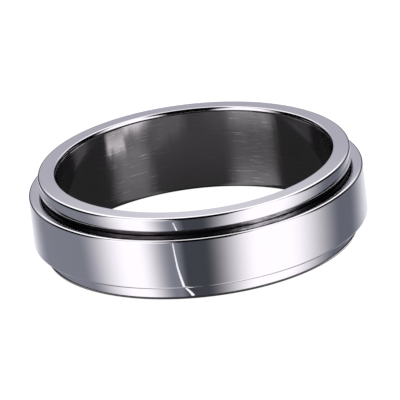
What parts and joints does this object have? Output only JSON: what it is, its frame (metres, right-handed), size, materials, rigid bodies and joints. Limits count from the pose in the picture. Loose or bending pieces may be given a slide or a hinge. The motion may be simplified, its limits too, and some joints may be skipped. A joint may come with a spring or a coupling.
{
  "type": "spinner ring",
  "caption": "Plain polished metal finger ring lying on its side: a channelled core band with an outer band that spins freely in its channel.",
  "frame": {"origin": "centre of the flat end face that the ring lies on", "axes": "+Z along the ring's axis, away from the surface; the ring is round about Z, so X and Y are free"},
  "size_m": [0.023, 0.023, 0.006],
  "materials": {
    "core_steel": "mirror-polished outside, fine-turned bore",
    "spinner_steel": "mirror-polished"
  },
  "bodies": {
    "core": {"core_band": "core_steel"},
    "spinner": {"spinner_band": "spinner_steel"}
  },
  "joints": [
    {"name": "spin", "type": "hinge", "parent": "core", "child": "spinner", "pos_m": [0, 0, 0.00298], "axis": [0, 0, 1], "continuous": true}
  ]
}
